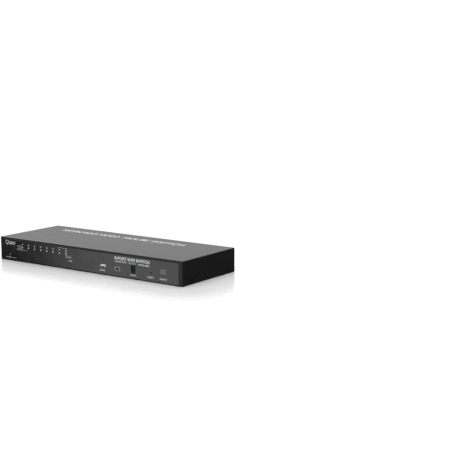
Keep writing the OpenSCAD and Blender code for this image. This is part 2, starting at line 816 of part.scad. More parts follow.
module chain_shell() {
    color([0.74, 0.74, 0.75]) {
        flange_plate(chain_x, d25_flange, [38.4, 7.9], d25_screws);
        translate([chain_x, 0, socket_z]) d_shell(39.2, 8.7, 2, 0.4, y_rear_out, y_tip);
    }
}

module chain_insert() {
    color([0.08, 0.08, 0.08]) {
        block([chain_x - 20, y_insert, socket_z - 5.1], [chain_x + 20, y_rear_out - gap, socket_z + 5.1]);
        block([chain_x - 20, y_insert, main_top], [chain_x + 20, y_rear_in - 0.8, socket_z - 5]);
    }
}

module chain_pins() {
    color([0.84, 0.69, 0.35]) {
        for (i = [-6 : 6])
            rod_y(chain_x + i * 2.76, socket_z + 1.42, 0.5, y_rear_out - gap, y_tip - 0.9);
        for (i = [0 : 11])
            rod_y(chain_x + (i - 5.5) * 2.76, socket_z - 1.42, 0.5, y_rear_out - gap, y_tip - 0.9);
    }
}

// Hexagonal screw lock with a threaded mouth for the plug's thumbscrew
module jackscrew(x) {
    difference() {
        union() {
            translate([x, y_flange + 4.8, socket_z]) rotate([90, 0, 0]) cylinder(h = 4.8, r = 2.75, $fn = 6);
            rod_y(x, socket_z, 1.4, y_rear_in - 4, y_flange + 1);
        }
        rod_y(x, socket_z, 1.2, y_flange + 0.3, y_flange + 5.3);
    }
}

module jackscrews() {
    color([0.80, 0.80, 0.82]) {
        for (x = concat(port_x, [console_x]), s = [-1, 1]) jackscrew(x + s * d15_screws / 2);
        for (s = [-1, 1]) jackscrew(chain_x + s * d25_screws / 2);
    }
}

// Shielded eight-way jacks, clip side up
module network_jacks() {
    color([0.70, 0.71, 0.72])
    for (x = jack_x) {
        z = main_top;
        difference() {
            block([x - 7.9, y_rear_out - 20.6, z], [x + 7.9, y_rear_out + 0.4, z + 13.4]);
            block([x - 5.9, y_rear_out - 14, z + 2.2], [x + 5.9, y_rear_out + 1, z + 9.6]);
            block([x - 3.1, y_rear_out - 14, z + 9.5], [x + 3.1, y_rear_out + 1, z + 11.2]);
        }
    }
}

module network_contacts() {
    pitch = 1.02;
    color([0.85, 0.70, 0.35])
    for (x = jack_x, i = [0 : 7])
        block([x + (i - 3.5) * pitch - 0.2, y_rear_out - 13.9, main_top + 2.3],
            [x + (i - 3.5) * pitch + 0.2, y_rear_out - 6, main_top + 2.9]);
}

module earth_screw() {
    color([0.80, 0.78, 0.55]) {
        translate([earth_at[0], y_rear_out + 0.8, earth_at[1]]) rotate([-90, 0, 0]) pan_screw(2, 3.8, 2.4, 5);
        along_y(y_rear_out, y_rear_out + 0.7) translate([earth_at[0], earth_at[1]]) difference() {
            circle(r = 4.6);
            circle(r = 2.1);
        }
    }
}

// ---------- mains inlet and rocker ----------

// Mouth of the inlet, with the two upper corners cut
function inlet_points(w, h) =
    let (c = 4.2, x = w / 2, z = h / 2)
    [[-x, -z], [x, -z], [x, z - c], [x - c, z], [-x + c, z], [-x, z - c]];

module inlet_housing() {
    y_out = y_rear_out + 3;
    color([0.07, 0.07, 0.07])
    translate([inlet_at[0], 0, inlet_at[1]])
    difference() {
        union() {
            rounded_plate_y(0, 0, 30.6, 23.4, 2, y_rear_out, y_out);
            rounded_plate_y(0, 0, 27.2, 19.8, 0.8, y_rear_out - 18, y_rear_out + gap);
        }
        along_y(y_out - 17, y_out + eps) polygon(rounded(inlet_points(24.2, 16.4), 0.6, 3));
        for (p = [[-7, 2], [7, 2], [0, -2]])
            block([p[0] - 1.05, y_rear_out - 20, p[1] - 2.05], [p[0] + 1.05, y_out - 16, p[1] + 2.05]);
    }
}

module inlet_pins() {
    color([0.80, 0.80, 0.78])
    for (p = [[-7, 2, 12], [7, 2, 12], [0, -2, 13.5]]) {
        x = inlet_at[0] + p[0];
        z = inlet_at[1] + p[1];
        block([x - 1, y_rear_out - 18.5, z - 2], [x + 1, y_rear_out - 14 + p[2], z + 2]);
        block([x - 0.4, y_rear_out - 26, z - 2.4], [x + 0.4, y_rear_out - 18.5, z + 2.4]);
    }
}

module rocker_housing() {
    cavity_w = 10.6;
    cavity_h = 17.4;
    color([0.06, 0.06, 0.06])
    translate([rocker_at[0], 0, rocker_at[1]])
    difference() {
        union() {
            rounded_plate_y(0, 0, 15, 21, 1, y_rear_out, y_rear_out + 1.8);
            rounded_plate_y(0, 0, 12.8, 18.8, 0.5, y_rear_out - 14, y_rear_out + gap);
        }
        block([-cavity_w / 2, rocker_pivot_y - 5, -cavity_h / 2],
            [cavity_w / 2, y_rear_out + 3, cavity_h / 2]);
        translate([0, rocker_pivot_y, 0]) rotate([0, 90, 0])
            cylinder(h = 12, r = rocker_pin_r + 0.05, center = true);
    }
}

// Rocker at its lower stop: a drum sector with a hollow V for its face, on two pins
module power_rocker() {
    reach = 12;
    color([0.10, 0.10, 0.10])
    translate([rocker_at[0], rocker_pivot_y, rocker_at[1]]) rotate([-rocker_tilt, 0, 0]) {
        intersection() {
            rotate([0, 90, 0]) cylinder(h = rocker_w, r = rocker_r, center = true, $fn = 96);
            translate([-rocker_w / 2, 0, 0]) rotate([90, 0, 90]) linear_extrude(rocker_w)
                polygon([[-2, -reach], [rocker_face + reach * tan(rocker_tilt), -reach], [rocker_face, 0],
                    [rocker_face + reach * tan(rocker_tilt), reach], [-2, reach]]);
        }
        rotate([0, 90, 0]) cylinder(h = 11.6, r = rocker_pin_r, center = true);
    }
}

module rocker_terminals() {
    color([0.80, 0.66, 0.35])
    for (z = [-5.2, 5.2])
        block([rocker_at[0] - 2.4, y_rear_out - 22.6, rocker_at[1] + z - 0.4],
            [rocker_at[0] + 2.4, y_rear_out - 14, rocker_at[1] + z + 0.4]);
}

// ---------- power board ----------

module power_board() {
    color([0.62, 0.48, 0.24])
    difference() {
        block([power_x[0], power_y[0], main_z], [power_x[1], power_y[1], main_top]);
        for (p = power_screw_at) rod_z(p[0], p[1], m3_r + 0.1, main_z - eps, main_top + eps);
    }
}

// Transformer, choke, reservoir and output capacitors, and the two wire headers
module power_parts() {
    z0 = main_top;
    color([0.80, 0.68, 0.20]) {
        block([178, -26, z0], [202, -4, z0 + 3]);
        block([181, -24, z0 + 3], [199, -6, z0 + 17]);
        block([178, -26, z0 + 17], [202, -4, z0 + 20]);
    }
    color([0.12, 0.12, 0.14]) {
        rod_z(189, 10, 9, z0, z0 + 26);
        block([170, 20, z0], [182, 26, z0 + 11]);
        for (p = [[190, -46], [202, -46]]) rod_z(p[0], p[1], 4.5, z0, z0 + 18);
    }
    color([0.92, 0.92, 0.90]) {
        block([178, 29, z0], [194, 36, z0 + 6.6]);
        supply_header(supply_from);
    }
}

module power_heat_sinks() {
    color([0.66, 0.67, 0.68]) {
        block([206, -28, main_top], [208.2, 4, main_top + 24]);
        block([206, -28, main_top + 24], [211, 4, main_top + 26.2]);
        block([167, -30, main_top], [169.2, -4, main_top + 22]);
    }
}

module insulating_sheet() {
    color([0.90, 0.88, 0.80])
    difference() {
        block([power_x[0] - 2, power_y[0] - 2, sheet_t], [power_x[1] + 2, power_y[1] + 2, sheet_t + 0.4]);
        for (p = power_screw_at) rod_z(p[0], p[1], 3, sheet_t - eps, sheet_t + 1);
    }
}

module mains_wires() {
    color([0.30, 0.18, 0.10]) {
        wire(line_route, wire_r);
        wire(switched_route, wire_r);
    }
    color([0.15, 0.30, 0.62]) wire(neutral_route, wire_r);
    color([0.30, 0.55, 0.20]) wire(earth_route, wire_r);
}

// Four wires from the power board to the main board, side by side
module supply_wires() {
    color([0.70, 0.12, 0.10])
    for (i = [0 : 3]) {
        a = supply_from + [0, i * supply_pitch];
        b = supply_to + [0, i * supply_pitch];
        wire([[a[0], a[1], main_top + 6.8], [a[0], a[1], main_top + 10], [a[0] - 7, a[1] + 3, main_top + 13],
            [b[0] + 14, b[1] - 4, main_top + 12], [b[0], b[1], main_top + 9.5],
            [b[0], b[1], main_top + 6.8]], 0.7);
    }
}

base_tray();
top_cover();
cover_screws();
front_bezel();
front_film();
bezel_screws();
online_light_pipes();
selected_light_pipes();
power_light_pipe();
link_light_pipe();
indicator_leds();
display_window();
display_module();
display_segments();
port_button();
port_button_plunger();
reset_plunger();
tact_switches();
usb_shell();
usb_tongue();
usb_contacts();
mini_usb_shell();
mini_usb_tongue();
front_board();
front_spacers();
front_board_screws();
main_board();
main_standoffs();
main_board_screws();
processor();
heat_sink();
port_chips();
support_chips();
board_capacitors();
buzzer();
battery_holder();
clock_battery();
cable_headers();
ribbon_cable();
port_shells();
port_inserts();
console_insert();
chain_shell();
chain_insert();
chain_pins();
jackscrews();
network_jacks();
network_contacts();
earth_screw();
inlet_housing();
inlet_pins();
rocker_housing();
power_rocker();
rocker_terminals();
power_board();
power_parts();
power_heat_sinks();
insulating_sheet();
mains_wires();
supply_wires();
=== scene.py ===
"""The looks of a one-unit rack switch for keyboard, video and mouse, laid out as a Blender add-on."""

import json
import math

import bmesh
import bpy
import numpy as np
from bpy.props import FloatProperty, FloatVectorProperty, PointerProperty
from mathutils import Matrix, Vector


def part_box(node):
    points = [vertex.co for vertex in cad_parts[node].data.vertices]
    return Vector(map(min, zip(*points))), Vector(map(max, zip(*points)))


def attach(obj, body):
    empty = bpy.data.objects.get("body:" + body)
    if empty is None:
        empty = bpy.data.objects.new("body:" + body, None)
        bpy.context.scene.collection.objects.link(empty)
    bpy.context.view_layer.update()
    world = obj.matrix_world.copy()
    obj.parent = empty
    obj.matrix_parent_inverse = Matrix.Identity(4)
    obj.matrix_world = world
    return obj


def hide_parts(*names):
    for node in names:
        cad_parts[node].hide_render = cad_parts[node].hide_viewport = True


bl_info = {
    "name": "Rack switch",
    "version": (1, 0, 0),
    "blender": (4, 5, 0),
    "location": "View3D > Sidebar > Rack switch",
    "description": "Panels, sockets, lights, printing and finishes of a rack switch",
    "category": "Add Mesh",
}

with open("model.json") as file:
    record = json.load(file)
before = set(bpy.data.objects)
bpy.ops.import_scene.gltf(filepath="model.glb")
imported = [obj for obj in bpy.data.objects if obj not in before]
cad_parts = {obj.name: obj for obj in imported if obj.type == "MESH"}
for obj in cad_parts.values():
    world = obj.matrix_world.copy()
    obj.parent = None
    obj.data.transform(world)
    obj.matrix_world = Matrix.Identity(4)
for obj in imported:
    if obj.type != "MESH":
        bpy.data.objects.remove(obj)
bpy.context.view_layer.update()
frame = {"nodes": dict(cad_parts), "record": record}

MM = 0.001
SAME_POINT = 1e-7
SAME_CAD_POINT = 2e-6
SMOOTH_BELOW = 35.0
CASE_LOW, CASE_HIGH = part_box("front_bezel")
COVER_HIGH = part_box("top_cover")[1]
FACE_Y = CASE_LOW.y
LEFT_X = CASE_LOW.x
REAR_WALL_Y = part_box("base_tray")[1].y
TIP_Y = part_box("port_shells")[1].y
BODY_OF = {node: body for body, nodes in frame["record"]["behaviour"]["bodies"].items() for node in nodes}
SLOT_OF = {part["node"]: part["material_slot"] for part in frame["record"]["subparts"]}

PORTS = 8
PORT_INSERT_WIDTH = 19.2 * MM
FLANGE_HEIGHT = 12.5 * MM
SHELL_HEIGHT = 8.7 * MM
SMALL_FLANGE, SMALL_SHELL, SMALL_SCREWS = 30.8 * MM, 17 * MM, 12.495 * MM
LARGE_FLANGE, LARGE_SHELL, LARGE_SCREWS = 53.1 * MM, 39.2 * MM, 23.52 * MM


# ---------- places ----------


def front_point(u, v, out=0.0):
    """Point on the front face, u mm from the left end, v mm above the bottom, out mm in front."""
    return np.array([LEFT_X + u * MM, FACE_Y - out * MM, v * MM])


def box_centre(node):
    """Middle of a node's box."""
    low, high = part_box(node)
    return (low + high) / 2


def row_of(node, count, end_width):
    """Evenly spaced X places of count like solids in one node, from the ends of its box."""
    low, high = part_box(node)
    return np.linspace(low.x + end_width / 2, high.x - end_width / 2, count)


# ---------- meshes ----------


def place_mesh(name, parts, material, body, stands_for=(), smooth_below=SMOOTH_BELOW):
    """Joins (vertices, faces) parts into one object with its faces turned outwards, and has it ride on a body.

    Printed ink has no slot, because the record has no material for it.
    """
    mesh = bpy.data.meshes.new(name)
    base = 0
    points, faces = [], []
    for verts, part_faces in parts:
        points.append(np.asarray(verts, float))
        faces.extend([[int(i) + base for i in f] for f in part_faces])
        base += len(verts)
    mesh.from_pydata(np.concatenate(points).tolist(), [], faces)
    tidy = bmesh.new()
    tidy.from_mesh(mesh)
    bmesh.ops.remove_doubles(tidy, verts=tidy.verts, dist=SAME_POINT)
    bmesh.ops.recalc_face_normals(tidy, faces=tidy.faces)
    tidy.to_mesh(mesh)
    tidy.free()
    mesh.polygons.foreach_set("use_smooth", np.ones(len(mesh.polygons), bool))
    mesh.set_sharp_from_angle(angle=math.radians(smooth_below))
    mesh.materials.append(material)
    piece = bpy.data.objects.new(name, mesh)
    bpy.context.scene.collection.objects.link(piece)
    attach(piece, body)
    if stands_for:
        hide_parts(*stands_for)
    return piece


def grid_faces(rows, columns, closed):
    """Quads of a grid whose columns run round a closed outline; closed also joins the last row to the first."""
    i = np.arange(rows if closed else rows - 1)[:, None]
    j = np.arange(columns)[None, :]
    near, far = i * columns, ((i + 1) % rows) * columns
    ahead = (j + 1) % columns
    return np.stack([near + j, near + ahead, far + ahead, far + j], -1).reshape(-1, 4)


def loft(rings, closed=False):
    """Surface through a stack of rings with equal point counts, capped at both ends unless it closes on itself."""
    rings = np.asarray(rings, float)
    rows, columns = rings.shape[:2]
    verts = rings.reshape(-1, 3)
    faces = [list(f) for f in grid_faces(rows, columns, closed)]
    if not closed:
        faces.append(list(range(columns)))
        faces.append(list(range((rows - 1) * columns, rows * columns)))
    return verts, faces


def outline(corners, radius):
    """Convex outline whose corners are arcs of the given radius, tangent to both sides."""
    steps = 6
    corners = np.asarray(corners, float)
    out = []
    for k in range(len(corners)):
        b = corners[k]
        u = corners[k - 1] - b
        v = corners[(k + 1) % len(corners)] - b
        u, v = u / np.linalg.norm(u), v / np.linalg.norm(v)
        half = math.acos(float(np.clip(u @ v, -1, 1))) / 2
        middle = b + (u + v) / np.linalg.norm(u + v) * radius / math.sin(half)
        start, end = b + u * radius / math.tan(half) - middle, b + v * radius / math.tan(half) - middle
        a0 = math.atan2(start[1], start[0])
        turn = (math.atan2(end[1], end[0]) - a0 + math.pi) % (2 * math.pi) - math.pi
        a = a0 + turn * np.linspace(0, 1, steps + 1)
        out.append(middle + radius * np.stack([np.cos(a), np.sin(a)], -1))
    return np.concatenate(out)


def rectangle(width, height, radius):
    """Rounded rectangle about the origin."""
    w, h = width / 2, height / 2
    return outline([(-w, -h), (w, -h), (w, h), (-w, h)], radius)


def d_outline(width, height, radius):
    """D shape about the origin: a rounded trapezium with its wide side up and its ends leaning in by ten degrees."""
    w, h = width / 2, height / 2
    lean = height * math.tan(math.radians(10))
    return outline([(-w + lean, -h), (w - lean, -h), (w, h), (-w, h)], radius)


def facing_y(flat, centre, y):
    """Ring in a plane of constant Y from an outline in X and Z, all in metres."""
    ring = np.empty((len(flat), 3))
    ring[:, 0], ring[:, 1], ring[:, 2] = centre[0] + flat[:, 0], y, centre[1] + flat[:, 1]
    return ring


def lathe_y(centre, profile):
    """Solid of revolution about a line along Y: each (radius, y) of the profile becomes a ring."""
    a = np.linspace(0, 2 * math.pi, 40, endpoint=False)
    circle = np.stack([np.cos(a), np.sin(a)], -1)
    return loft([facing_y(circle * r, centre, y) for r, y in profile])


def box_part(low, high):
    """Plain box between two corners, for bars and lines of print."""
    low, high = np.asarray(low, float), np.asarray(high, float)
    pick = np.array([[0, 0, 0], [1, 0, 0], [1, 1, 0], [0, 1, 0], [0, 0, 1], [1, 0, 1], [1, 1, 1], [0, 1, 1]])
    faces = [[0, 3, 2, 1], [4, 5, 6, 7], [0, 1, 5, 4], [1, 2, 6, 5], [2, 3, 7, 6], [3, 0, 4, 7]]
    return low + pick * (high - low), faces


def refined(node, name, material, bevel, smooth_below=SMOOTH_BELOW, top=None):
    """Copy of a node with its flat faces joined and its sharp edges broken by a small round bevel.

    Where top is given, the copy is pressed down to it, so that printed ink fits within the node's height.
    """
    mesh = frame["nodes"][node].data.copy()
    mesh.name = name
    if top is not None:
        points = np.empty(len(mesh.vertices) * 3, np.float32)
        mesh.vertices.foreach_get("co", points)
        points[2::3] = np.minimum(points[2::3], top)
        mesh.vertices.foreach_set("co", points)
    tidy = bmesh.new()
    tidy.from_mesh(mesh)
    bmesh.ops.remove_doubles(tidy, verts=tidy.verts, dist=SAME_CAD_POINT)
    flat = math.radians(0.4)
    bmesh.ops.dissolve_limit(tidy, angle_limit=flat, verts=tidy.verts, edges=tidy.edges, delimit={"NORMAL"})
    tidy.to_mesh(mesh)
    tidy.free()
    mesh.polygons.foreach_set("use_smooth", np.ones(len(mesh.polygons), bool))
    mesh.set_sharp_from_angle(angle=math.radians(smooth_below))
    mesh.materials.clear()
    mesh.materials.append(material)
    piece = bpy.data.objects.new(name, mesh)
    bpy.context.scene.collection.objects.link(piece)
    edge = piece.modifiers.new("broken edges", "BEVEL")
    edge.width = bevel
    edge.segments = 2
    edge.limit_method = "ANGLE"
    edge.angle_limit = math.radians(smooth_below)
    edge.harden_normals = True
    edge.use_clamp_overlap = True
    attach(piece, BODY_OF[node])
    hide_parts(node)
    return piece


def words(text, height, thickness, width=None, weight=0.0):
    """Raised capital letters about the origin in X and Y, height tall and thickness thick.

    Width squeezes or spreads the line where it is given, and weight fattens every stroke by a sloping edge.
    """
    curve = bpy.data.curves.new("letters", "FONT")
    curve.body = text
    curve.align_x = "CENTER"
    curve.extrude = 0.01  # any depth, as the points are scaled to the thickness below
    curve.bevel_depth = weight
    curve.bevel_resolution = 0
    curve.resolution_u = 4
    holder = bpy.data.objects.new("letters", curve)
    bpy.context.scene.collection.objects.link(holder)
    bpy.context.view_layer.update()
    mesh = bpy.data.meshes.new_from_object(holder.evaluated_get(bpy.context.evaluated_depsgraph_get()))
    points = np.empty(len(mesh.vertices) * 3)
    mesh.vertices.foreach_get("co", points)
    points = points.reshape(-1, 3)
    faces = [list(p.vertices) for p in mesh.polygons]
    bpy.data.objects.remove(holder)
    bpy.data.curves.remove(curve)
    bpy.data.meshes.remove(mesh)
    low, high = points.min(0), points.max(0)
    grow = height / (high[1] - low[1])
    across = width / (high[0] - low[0]) if width else grow
    points = (points - (low + high) / 2) * [across, grow, thickness / (high[2] - low[2])]
    return points, faces


def on_front(part, u, v, lift):
    """Turns a flat part in X and Y to stand on the front face at u, v mm, its back at the face."""
    points, faces = part
    spot = front_point(u, v)
    turned = np.stack([points[:, 0] + spot[0], spot[1] - points[:, 2] - lift, points[:, 1] + spot[2]], -1)
    return turned, faces


def on_rear(part, x, z, lift):
    """Turns a flat part in X and Y to stand on the rear wall, read from behind."""
    points, faces = part
    return np.stack([x - points[:, 0], REAR_WALL_Y + points[:, 2] + lift, z + points[:, 1]], -1), faces


# ---------- finishes ----------


def new_node(tree, kind, inputs=(), **settings):
    """New node with its settings, its inputs given as values or as sockets to link."""
    n = tree.nodes.new(kind)
    for key, value in settings.items():
        setattr(n, key, value)
    for key, value in dict(inputs).items():
        if isinstance(value, bpy.types.NodeSocket):
            tree.links.new(value, n.inputs[key])
        else:
            n.inputs[key].default_value = value
    return n

class Finish:
    """A node material being built: the tree, its shader and the object's own coordinates."""

    def __init__(self, name, colour, rough, metal=0.0, ior=1.5):
        self.material = bpy.data.materials.new(name)
        self.material.use_nodes = True
        self.material.diffuse_color = (*colour[:3], 1)
        self.tree = self.material.node_tree
        self.shader = next(n for n in self.tree.nodes if n.type == "BSDF_PRINCIPLED")
        self.colour = colour
        self.put("Base Color", (*colour[:3], 1))
        self.put("Roughness", rough)
        self.put("Metallic", metal)
        self.put("IOR", ior)
        self.place = self.node("ShaderNodeTexCoord").outputs["Object"]

    def node(self, kind, inputs=(), **settings):
        """New node in the material."""
        return new_node(self.tree, kind, inputs, **settings)

    def put(self, socket, value):
        """Sets a shader socket, or links one to it."""
        if isinstance(value, bpy.types.NodeSocket):
            self.tree.links.new(value, self.shader.inputs[socket])
        else:
            self.shader.inputs[socket].default_value = value

    def noise(self, size, detail=2.0, stretch=(1, 1, 1)):
        """Noise whose features are about size metres across, stretched along the axes."""
        turned = self.node("ShaderNodeMapping", {"Vector": self.place, "Scale": stretch})
        inputs = {"Vector": turned.outputs["Vector"], "Scale": 1 / size, "Detail": detail}
        return self.node("ShaderNodeTexNoise", inputs).outputs["Fac"]

    def between(self, fac, low, high):
        """Spreads a factor's middle range over low to high."""
        inputs = {"Value": fac, "From Min": 0.3, "From Max": 0.7, "To Min": low, "To Max": high}
        return self.node("ShaderNodeMapRange", inputs).outputs["Result"]

    def tint(self, fac, amount):
        """Base colour that varies either way by amount as the factor changes."""
        stops = self.node("ShaderNodeValToRGB", {"Fac": fac})
        for stop, place, gain in zip(stops.color_ramp.elements, (0.3, 0.7), (1 - amount, 1 + amount)):
            stop.position = place
            stop.color = (*(min(1.0, c * gain) for c in self.colour[:3]), 1)
        self.put("Base Color", stops.outputs["Color"])

    def relief(self, height, depth, strength):
        """Bump from a height factor, depth metres deep."""
        inputs = {"Height": height, "Distance": depth, "Strength": strength}
        self.put("Normal", self.node("ShaderNodeBump", inputs).outputs["Normal"])

    def waves(self, axis, pitch):
        """Sine of the place along an axis, from 0 to 1, once every pitch metres."""
        parts = self.node("ShaderNodeSeparateXYZ", {"Vector": self.place})
        turn = self.node("ShaderNodeMath", {0: parts.outputs[axis], 1: 2 * math.pi / pitch}, operation="MULTIPLY")
        wave = self.node("ShaderNodeMath", {0: turn.outputs[0]}, operation="SINE")
        inputs = {"Value": wave.outputs[0], "From Min": -1.0, "From Max": 1.0}
        return self.node("ShaderNodeMapRange", inputs).outputs["Result"]


def powder_coat(name, colour, rough):
    """Baked powder paint: a fine even pebble over a faint cloudiness."""
    f = Finish(name, colour, rough)
    f.tint(f.noise(0.03), 0.06)
    f.put("Roughness", f.between(f.noise(0.012, 3.0), rough - 0.012, rough + 0.012))
    f.relief(f.noise(0.0006, 1.0), 0.00001, 0.6)
    return f.material


def moulded(name, colour, rough, grain=0.0004, depth=0.00001, specular=0.5):
    """Moulded plastic with a spark-eroded skin."""
    f = Finish(name, colour, rough)
    f.put("Specular IOR Level", specular)
    f.tint(f.noise(0.02), 0.05)
    f.put("Roughness", f.between(f.noise(0.006, 3.0), rough - 0.04, rough + 0.04))
    f.relief(f.noise(grain, 2.0), depth, 0.5)
    return f.material


def film_skin(name, colour, rough):
    """Printed polyester film: almost flat, with a slow ripple and a faint haze."""
    f = Finish(name, colour, rough)
    f.tint(f.noise(0.05), 0.06)
    f.put("Roughness", f.between(f.noise(0.02, 4.0), rough - 0.03, rough + 0.03))
    f.relief(f.noise(0.012, 1.0), 0.000006, 0.35)
    return f.material


def plated(name, colour, rough, grain_axis=(1, 12, 12)):
    """Plated or drawn metal with fine streaks along one axis."""
    f = Finish(name, colour, rough, metal=1.0)
    streaks = f.noise(0.004, 4.0, grain_axis)
    f.tint(streaks, 0.08)
    f.put("Roughness", f.between(streaks, rough - 0.08, rough + 0.08))
    f.relief(f.noise(0.0008, 2.0, grain_axis), 0.000004, 0.4)
    return f.material


def lens_resin(name, colour, glow):
    """Clear-cast light pipe, milky inside, lit by glow in its own colour."""
    f = Finish(name, colour, 0.22, ior=1.49)
    f.tint(f.noise(0.0012, 2.0), 0.06)
    f.put("Coat Weight", 0.5)
    f.put("Coat Roughness", 0.08)
    f.put("Emission Color", (*colour[:3], 1))
    f.put("Emission Strength", glow)
    f.relief(f.noise(0.0015, 1.0), 0.000008, 0.3)
    return f.material


def polished_window(name, colour):
    """Polished acrylic with a trace of dust in its gloss."""
    f = Finish(name, colour, 0.06, ior=1.49)
    f.tint(f.noise(0.01), 0.10)
    f.put("Roughness", f.between(f.noise(0.003, 5.0), 0.03, 0.10))
    f.put("Specular IOR Level", 0.1)
    return f.material


def ink(name, colour):
    """Screen-printed ink, slightly uneven."""
    f = Finish(name, colour, 0.55)
    f.tint(f.noise(0.002, 3.0), 0.05)
    f.relief(f.noise(0.0005, 1.0), 0.000005, 0.4)
    return f.material


def solder_mask(name, colour):
    """Circuit board: tracks under lacquer, as paler and raised lines of random cells."""
    f = Finish(name, colour, 0.32)
    inputs = {"Vector": f.place, "Scale": 260.0, "Randomness": 0.25}
    cells = f.node("ShaderNodeTexVoronoi", inputs, feature="DISTANCE_TO_EDGE")
    line = f.node("ShaderNodeMapRange", {"Value": cells.outputs["Distance"], "From Min": 0.03, "From Max": 0.08})
    f.tint(f.between(line.outputs["Result"], 0.75, 0.25), 0.45)
    f.relief(line.outputs["Result"], 0.00003, 0.4)
    f.put("Coat Weight", 0.4)
    return f.material


def ribbed_cable(name, colour):
    """Flat cable: round cores side by side, bumped, with the same ribs painted into the colour as painted shade in
    the grooves and painted highlight on the cores.
    """
    f = Finish(name, colour, 0.5)
    rib_shade_and_height = f.waves("X", 0.00127)
    # The rib wave also tints the colour: painted shade in the grooves and painted highlight on the round cores.
    f.tint(rib_shade_and_height, 0.18)
    f.relief(rib_shade_and_height, 0.0002, 0.8)
    return f.material


def wound_parts(name, colour):
    """Taped windings: turns of tape one over another, bumped, with painted shade in the hollows between turns and
    painted highlight on their crests.
    """
    f = Finish(name, colour, 0.42)
    turn_shade_and_height = f.waves("Z", 0.003)
    # The turn wave also tints the colour: painted shade between the turns and painted highlight on their crests.
    f.tint(turn_shade_and_height, 0.20)
    f.relief(turn_shade_and_height, 0.00006, 0.5)
    return f.material


def build_finishes(colours):
    """Every finish: by the name of its slot, or by the name of its ink."""
    return {
        "case_black": powder_coat("case black powder", colours.case, 0.46),
        "cover_black": powder_coat("cover black powder", colours.cover, 0.40),
        "screw_black": plated("black zinc", (0.05, 0.05, 0.055), 0.38),
        "bezel_plastic": moulded("bezel plastic", colours.bezel, 0.18, depth=0.000004, specular=0.12),
        "front_film": film_skin("front film", colours.film, 0.13),
        "zinc": plated("bright zinc", (0.70, 0.70, 0.72), 0.30),
        "online_lens": lens_resin("online lens", colours.online, 0.0),
        "selected_lens": lens_resin("selected lens", colours.selected, 0.0),
        "power_lens": lens_resin("power lens lit", colours.power, 0.12),
        "link_lens": lens_resin("link lens unlit", (0.004, 0.004, 0.004), 0.0),
        "led_resin": lens_resin("lamp resin", (0.80, 0.80, 0.70), 0.1),
        "smoked_window": polished_window("smoked window", (0.002, 0.0017, 0.002)),
        "dull_nickel": plated("dull nickel", (0.18, 0.18, 0.18), 0.42, (12, 1, 12)),
        "black_plastic": moulded("black nylon", (0.018, 0.018, 0.019), 0.48),
        "digit_resin": lens_resin("digit resin", (0.30, 0.26, 0.24), 0.0),
        "button_grey": moulded("button plastic", colours.button, 0.38, depth=0.000006),
        "tact_metal": plated("stamped steel", (0.55, 0.55, 0.55), 0.4),
        "connector_metal": plated("nickel plate", (0.66, 0.66, 0.67), 0.28, (12, 1, 12)),
        "white_plastic": moulded("white nylon", (0.80, 0.80, 0.79), 0.45),
        "gold_contact": plated("gold flash", (0.83, 0.64, 0.28), 0.24),
        "circuit_board": solder_mask("green lacquer", (0.010, 0.10, 0.045)),
        "brass_spacer": plated("turned brass", (0.72, 0.55, 0.26), 0.30),
        "chip_black": moulded("chip epoxy", (0.020, 0.020, 0.021), 0.55, grain=0.0002),
        "heat_sink_alloy": plated("extruded alloy", (0.50, 0.51, 0.52), 0.38, (12, 1, 12)),
        "capacitor_sleeve": moulded("shrink sleeve", (0.02, 0.03, 0.09), 0.25),
        "ribbon_grey": ribbed_cable("ribbon grey", (0.36, 0.36, 0.38)),
        "port_yellow": moulded("yellow nylon", colours.port, 0.42),
        "console_blue": moulded("blue nylon", (0.02, 0.06, 0.40), 0.42),
        "rocker_black": moulded("rocker plastic", (0.016, 0.016, 0.017), 0.26, depth=0.000004),
        "phenolic_board": moulded("phenolic laminate", (0.36, 0.22, 0.08), 0.5, grain=0.002, depth=0.00002),
        "power_components": wound_parts("taped windings", (0.42, 0.32, 0.06)),
        "insulating_film": moulded("fish paper", (0.62, 0.58, 0.46), 0.7, grain=0.001),
        "wire_brown": moulded("brown insulation", (0.10, 0.04, 0.015), 0.35),
        "wire_red": moulded("red insulation", (0.50, 0.015, 0.012), 0.35),
        "ink_white": ink("white ink", colours.ink),
        "ink_green": ink("green ink", colours.green_ink),
        "ink_cover": ink("pale ink on the cover", colours.cover_ink),
    }


FINISH = {}


# ---------- sizes and colours that a user would change ----------


def colour_property(name, description, default):
    """A colour with a picker."""
    return FloatVectorProperty(
        name=name, description=description, default=default, size=3, min=0.0, max=1.0, subtype="COLOR"
    )


def length_property(name, description, default):
    """A length in metres."""
    return FloatProperty(name=name, description=description, default=default, min=0.0, unit="LENGTH", precision=5)


class RackSwitchColours(bpy.types.PropertyGroup):
    """Colours of the paints, plastics, lights and inks."""

    case: colour_property("Case", "Powder paint of the tray", (0.012, 0.012, 0.013))
    cover: colour_property("Cover", "Powder paint of the cover", (0.008, 0.008, 0.0085))
    bezel: colour_property("Bezel", "Plastic of the front bezel", (0.010, 0.010, 0.0105))
    film: colour_property("Film", "Printed film on the front", (0.0045, 0.0045, 0.005))
    online: colour_property("Online lights", "Resin of the upper row of lights", (0.30, 0.32, 0.30))
    selected: colour_property("Selected lights", "Resin of the lower row of lights", (0.46, 0.46, 0.44))
    power: colour_property("Power light", "Resin and glow of the power light", (0.10, 0.24, 0.12))
    button: colour_property("Button", "Plastic of the port button", (0.07, 0.074, 0.073))
    port: colour_property("Computer sockets", "Plastic inside the computer sockets", (0.72, 0.44, 0.03))
    ink: colour_property("Front ink", "Pale ink on the front", (0.42, 0.43, 0.43))
    green_ink: colour_property("Green ink", "Green ink on the front", (0.13, 0.36, 0.17))
    cover_ink: colour_property("Cover ink", "Pale ink on the cover", (0.55, 0.56, 0.56))


